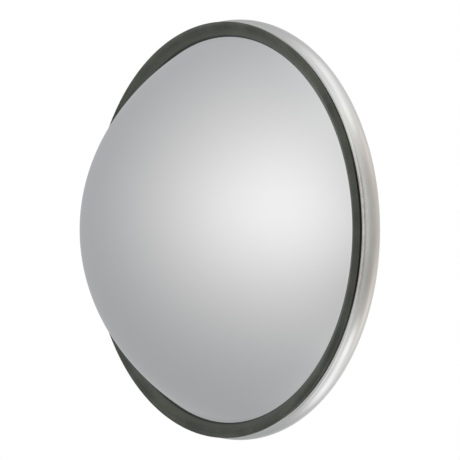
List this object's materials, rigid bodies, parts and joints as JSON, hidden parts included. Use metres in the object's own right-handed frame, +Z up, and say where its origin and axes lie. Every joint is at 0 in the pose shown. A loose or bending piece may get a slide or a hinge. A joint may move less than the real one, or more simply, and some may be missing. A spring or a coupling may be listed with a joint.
{
  "type": "traffic convex mirror",
  "caption": "Round deep-dome convex mirror in a rubber rim and pressed pan shell, on a ball stud and a hinged bracket for a wall or post plate.",
  "frame": {"origin": "centre of the wall bracket's rear face, between its fixing holes", "axes": "+Z up, -Y the way the mirror faces, +Y into the wall or post plate, +X to the right of someone who faces the mirror"},
  "size_m": [0.3048, 0.2012, 0.3048],
  "materials": {
    "mirror_face": "polished",
    "rim_rubber": "matte",
    "shell_steel": "satin",
    "packing_foam": "matte",
    "hub_casting": "satin",
    "seal_rubber": "matte",
    "zinc_plate": "satin",
    "spring_steel": "satin",
    "stainless_fasteners": "satin",
    "nylon": "satin",
    "galvanised_steel": "matte"
  },
  "bodies": {
    "base": {"base_bracket": "galvanised_steel", "pivot_bolts": "zinc_plate", "pivot_washers": "zinc_plate", "pivot_nuts": "zinc_plate"},
    "yoke": {"yoke_bracket": "galvanised_steel", "pivot_bushes": "nylon", "ball_stud": "zinc_plate", "jam_nut": "zinc_plate", "stud_washer": "zinc_plate", "lock_washer": "spring_steel", "stud_nut": "zinc_plate"},
    "ball_seat": {"seat_rear": "nylon", "seat_front": "nylon"},
    "head": {"mirror_dome": "mirror_face", "rim_gasket": "rim_rubber", "back_shell": "shell_steel", "packing_ring": "packing_foam", "socket_housing": "hub_casting", "socket_seal": "seal_rubber", "retainer_cup": "zinc_plate", "pressure_springs": "spring_steel", "socket_screws": "stainless_fasteners", "socket_nuts": "stainless_fasteners"}
  },
  "joints": [
    {"name": "bracket_pan", "type": "hinge", "parent": "base", "child": "yoke", "pos_m": [0, -0.027, 0], "axis": [0, 0, 1], "range_deg": [-27, 27]},
    {"name": "head_tilt", "type": "hinge", "parent": "yoke", "child": "ball_seat", "pos_m": [0, -0.074, 0], "axis": [1, 0, 0], "range_deg": [-15, 15]},
    {"name": "head_spin", "type": "hinge", "parent": "ball_seat", "child": "head", "pos_m": [0, -0.074, 0], "axis": [0, 1, 0], "continuous": true}
  ]
}
